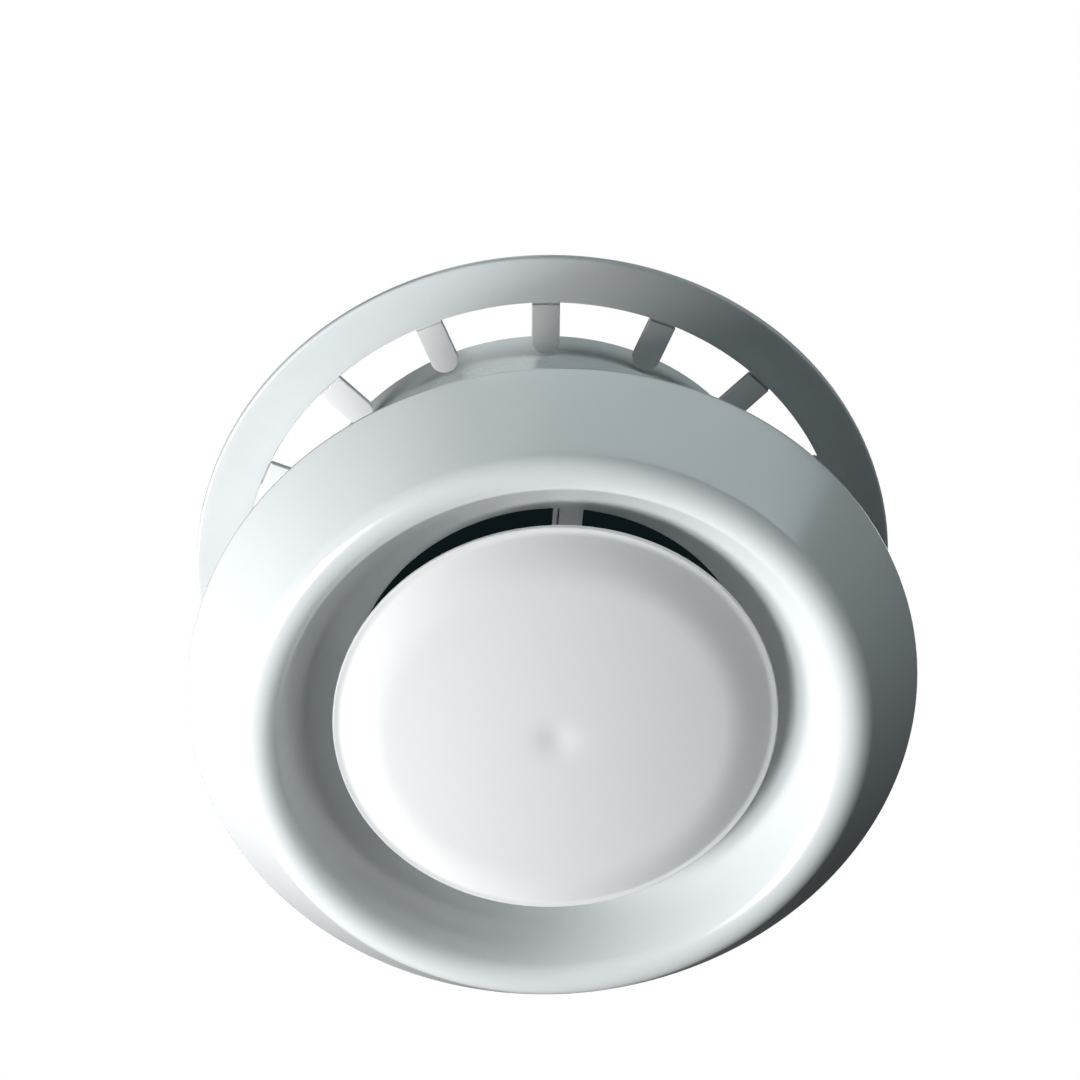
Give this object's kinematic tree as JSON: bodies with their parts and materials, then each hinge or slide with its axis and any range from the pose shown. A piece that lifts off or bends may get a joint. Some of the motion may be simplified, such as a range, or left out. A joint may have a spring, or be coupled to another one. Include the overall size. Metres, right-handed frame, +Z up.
{
  "type": "ceiling air valve",
  "caption": "Round white plastic ceiling air valve: bell-shaped front, screw-adjusted centre disc, duct spigot, and a sliding retaining ring with sprung fingers.",
  "frame": {"origin": "centre of the rim's ceiling side, on the valve's axis", "axes": "+Z up the duct; -Y towards the first spider arm"},
  "size_m": [0.18, 0.18, 0.0954],
  "materials": {
    "bell_plastic": "gloss white moulding",
    "disc_plastic": "gloss white moulding",
    "spigot_plastic": "semi-gloss white moulding",
    "ring_plastic": "semi-gloss white moulding",
    "foam_seal": "fine closed-cell foam",
    "zinc_steel": "bright zinc plate",
    "brass_insert": "turned brass"
  },
  "bodies": {
    "valve_body": {"front_bell": "bell_plastic", "rim_gasket": "foam_seal", "spigot": "spigot_plastic", "spider": "spigot_plastic", "hub_insert": "brass_insert"},
    "ring": {"retaining_ring": "ring_plastic"},
    "stop_washer": {"stop_washer": "zinc_steel"},
    "disc_assembly": {"disc": "disc_plastic", "spindle": "zinc_steel", "disc_washer": "zinc_steel", "disc_nut": "zinc_steel", "stop_nut": "zinc_steel"},
    "lock_washer": {"lock_washer": "zinc_steel"},
    "lock_nut": {"lock_nut": "zinc_steel"},
    "spring_finger_01": {"finger_01": "ring_plastic"},
    "spring_finger_02": {"finger_02": "ring_plastic"},
    "spring_finger_03": {"finger_03": "ring_plastic"},
    "spring_finger_04": {"finger_04": "ring_plastic"},
    "spring_finger_05": {"finger_05": "ring_plastic"},
    "spring_finger_06": {"finger_06": "ring_plastic"},
    "spring_finger_07": {"finger_07": "ring_plastic"},
    "spring_finger_08": {"finger_08": "ring_plastic"},
    "spring_finger_09": {"finger_09": "ring_plastic"},
    "spring_finger_10": {"finger_10": "ring_plastic"},
    "spring_finger_11": {"finger_11": "ring_plastic"},
    "spring_finger_12": {"finger_12": "ring_plastic"},
    "spring_finger_13": {"finger_13": "ring_plastic"},
    "spring_finger_14": {"finger_14": "ring_plastic"},
    "spring_finger_15": {"finger_15": "ring_plastic"},
    "spring_finger_16": {"finger_16": "ring_plastic"}
  },
  "joints": [
    {"name": "ring_slide", "type": "slide", "parent": "valve_body", "child": "ring", "axis": [0, 0, 1], "range_m": [-0.055, 0.01]},
    {"name": "disc_travel", "type": "slide", "parent": "valve_body", "child": "stop_washer", "axis": [0, 0, 1], "range_m": [-0.00937, 0.00937]},
    {"name": "disc_turn", "type": "hinge", "parent": "stop_washer", "child": "disc_assembly", "pos_m": [0, 0, 0.0388], "axis": [0, 0, 1], "range_deg": [-2701, 2701]},
    {"name": "lock_washer_travel", "type": "slide", "parent": "valve_body", "child": "lock_washer", "axis": [0, 0, 1], "range_m": [0, 0.0025]},
    {"name": "lock_nut_turn", "type": "hinge", "parent": "lock_washer", "child": "lock_nut", "pos_m": [0, 0, 0.0214], "axis": [0, 0, 1], "range_deg": [0, 721]},
    {"name": "finger_flex_01", "type": "hinge", "parent": "ring", "child": "spring_finger_01", "pos_m": [-0.00582, -0.07568, 0.0621], "axis": [0.9971, -0.0767, 0], "range_deg": [-12, 25], "stiffness_Nm_per_rad": 0.05},
    {"name": "finger_flex_02", "type": "hinge", "parent": "ring", "child": "spring_finger_02", "pos_m": [0.02358, -0.07214, 0.0621], "axis": [0.9505, 0.3107, 0], "range_deg": [-12, 25], "stiffness_Nm_per_rad": 0.05},
    {"name": "finger_flex_03", "type": "hinge", "parent": "ring", "child": "spring_finger_03", "pos_m": [0.04939, -0.05763, 0.0621], "axis": [0.7593, 0.6508, 0], "range_deg": [-12, 25], "stiffness_Nm_per_rad": 0.05},
    {"name": "finger_flex_04", "type": "hinge", "parent": "ring", "child": "spring_finger_04", "pos_m": [0.06769, -0.03434, 0.0621], "axis": [0.4524, 0.8918, 0], "range_deg": [-12, 25], "stiffness_Nm_per_rad": 0.05},
    {"name": "finger_flex_05", "type": "hinge", "parent": "ring", "child": "spring_finger_05", "pos_m": [0.07568, -0.00582, 0.0621], "axis": [0.0767, 0.9971, 0], "range_deg": [-12, 25], "stiffness_Nm_per_rad": 0.05},
    {"name": "finger_flex_06", "type": "hinge", "parent": "ring", "child": "spring_finger_06", "pos_m": [0.07214, 0.02358, 0.0621], "axis": [-0.3107, 0.9505, 0], "range_deg": [-12, 25], "stiffness_Nm_per_rad": 0.05},
    {"name": "finger_flex_07", "type": "hinge", "parent": "ring", "child": "spring_finger_07", "pos_m": [0.05763, 0.04939, 0.0621], "axis": [-0.6508, 0.7593, 0], "range_deg": [-12, 25], "stiffness_Nm_per_rad": 0.05},
    {"name": "finger_flex_08", "type": "hinge", "parent": "ring", "child": "spring_finger_08", "pos_m": [0.03434, 0.06769, 0.0621], "axis": [-0.8918, 0.4524, 0], "range_deg": [-12, 25], "stiffness_Nm_per_rad": 0.05},
    {"name": "finger_flex_09", "type": "hinge", "parent": "ring", "child": "spring_finger_09", "pos_m": [0.00582, 0.07568, 0.0621], "axis": [-0.9971, 0.0767, 0], "range_deg": [-12, 25], "stiffness_Nm_per_rad": 0.05},
    {"name": "finger_flex_10", "type": "hinge", "parent": "ring", "child": "spring_finger_10", "pos_m": [-0.02358, 0.07214, 0.0621], "axis": [-0.9505, -0.3107, 0], "range_deg": [-12, 25], "stiffness_Nm_per_rad": 0.05},
    {"name": "finger_flex_11", "type": "hinge", "parent": "ring", "child": "spring_finger_11", "pos_m": [-0.04939, 0.05763, 0.0621], "axis": [-0.7593, -0.6508, 0], "range_deg": [-12, 25], "stiffness_Nm_per_rad": 0.05},
    {"name": "finger_flex_12", "type": "hinge", "parent": "ring", "child": "spring_finger_12", "pos_m": [-0.06769, 0.03434, 0.0621], "axis": [-0.4524, -0.8918, 0], "range_deg": [-12, 25], "stiffness_Nm_per_rad": 0.05},
    {"name": "finger_flex_13", "type": "hinge", "parent": "ring", "child": "spring_finger_13", "pos_m": [-0.07568, 0.00582, 0.0621], "axis": [-0.0767, -0.9971, 0], "range_deg": [-12, 25], "stiffness_Nm_per_rad": 0.05},
    {"name": "finger_flex_14", "type": "hinge", "parent": "ring", "child": "spring_finger_14", "pos_m": [-0.07214, -0.02358, 0.0621], "axis": [0.3107, -0.9505, 0], "range_deg": [-12, 25], "stiffness_Nm_per_rad": 0.05},
    {"name": "finger_flex_15", "type": "hinge", "parent": "ring", "child": "spring_finger_15", "pos_m": [-0.05763, -0.04939, 0.0621], "axis": [0.6508, -0.7593, 0], "range_deg": [-12, 25], "stiffness_Nm_per_rad": 0.05},
    {"name": "finger_flex_16", "type": "hinge", "parent": "ring", "child": "spring_finger_16", "pos_m": [-0.03434, -0.06769, 0.0621], "axis": [0.8918, -0.4524, 0], "range_deg": [-12, 25], "stiffness_Nm_per_rad": 0.05}
  ],
  "couplings": [
    {"joint": "disc_turn", "follows": "disc_travel", "rad_per_m": 5026.5},
    {"joint": "lock_nut_turn", "follows": "lock_washer_travel", "rad_per_m": 5026.5},
    {"joint": "finger_flex_02", "follows": "finger_flex_01", "ratio": 1},
    {"joint": "finger_flex_03", "follows": "finger_flex_01", "ratio": 1},
    {"joint": "finger_flex_04", "follows": "finger_flex_01", "ratio": 1},
    {"joint": "finger_flex_05", "follows": "finger_flex_01", "ratio": 1},
    {"joint": "finger_flex_06", "follows": "finger_flex_01", "ratio": 1},
    {"joint": "finger_flex_07", "follows": "finger_flex_01", "ratio": 1},
    {"joint": "finger_flex_08", "follows": "finger_flex_01", "ratio": 1},
    {"joint": "finger_flex_09", "follows": "finger_flex_01", "ratio": 1},
    {"joint": "finger_flex_10", "follows": "finger_flex_01", "ratio": 1},
    {"joint": "finger_flex_11", "follows": "finger_flex_01", "ratio": 1},
    {"joint": "finger_flex_12", "follows": "finger_flex_01", "ratio": 1},
    {"joint": "finger_flex_13", "follows": "finger_flex_01", "ratio": 1},
    {"joint": "finger_flex_14", "follows": "finger_flex_01", "ratio": 1},
    {"joint": "finger_flex_15", "follows": "finger_flex_01", "ratio": 1},
    {"joint": "finger_flex_16", "follows": "finger_flex_01", "ratio": 1}
  ]
}
